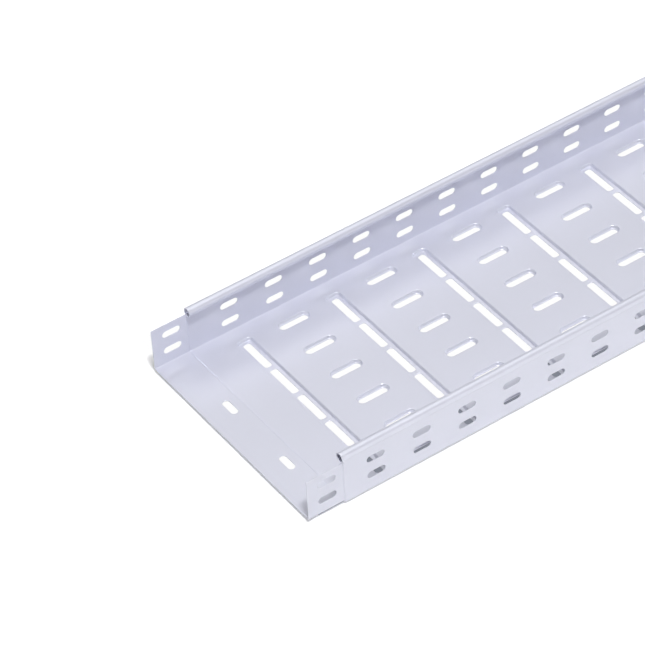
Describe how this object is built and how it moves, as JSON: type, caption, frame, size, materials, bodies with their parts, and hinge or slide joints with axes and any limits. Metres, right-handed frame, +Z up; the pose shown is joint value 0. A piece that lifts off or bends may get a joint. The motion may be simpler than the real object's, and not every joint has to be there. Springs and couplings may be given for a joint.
{
  "type": "perforated cable tray",
  "caption": "Straight open channel of pressed sheet steel with slotted base ribs, slotted side walls, rolled top lips and a stepped coupling end.",
  "frame": {"origin": "under the middle of the tray, on the plane of the pressed ribs' undersides", "axes": "+X along the tray away from its stepped coupling end, +Y across it to the far wall, +Z up"},
  "size_m": [2, 0.25, 0.06],
  "materials": {
    "zinc_coated_steel": "smooth satin zinc coating, pale cool grey"
  },
  "bodies": {
    "root": {"cable_tray": "zinc_coated_steel"}
  },
  "joints": []
}
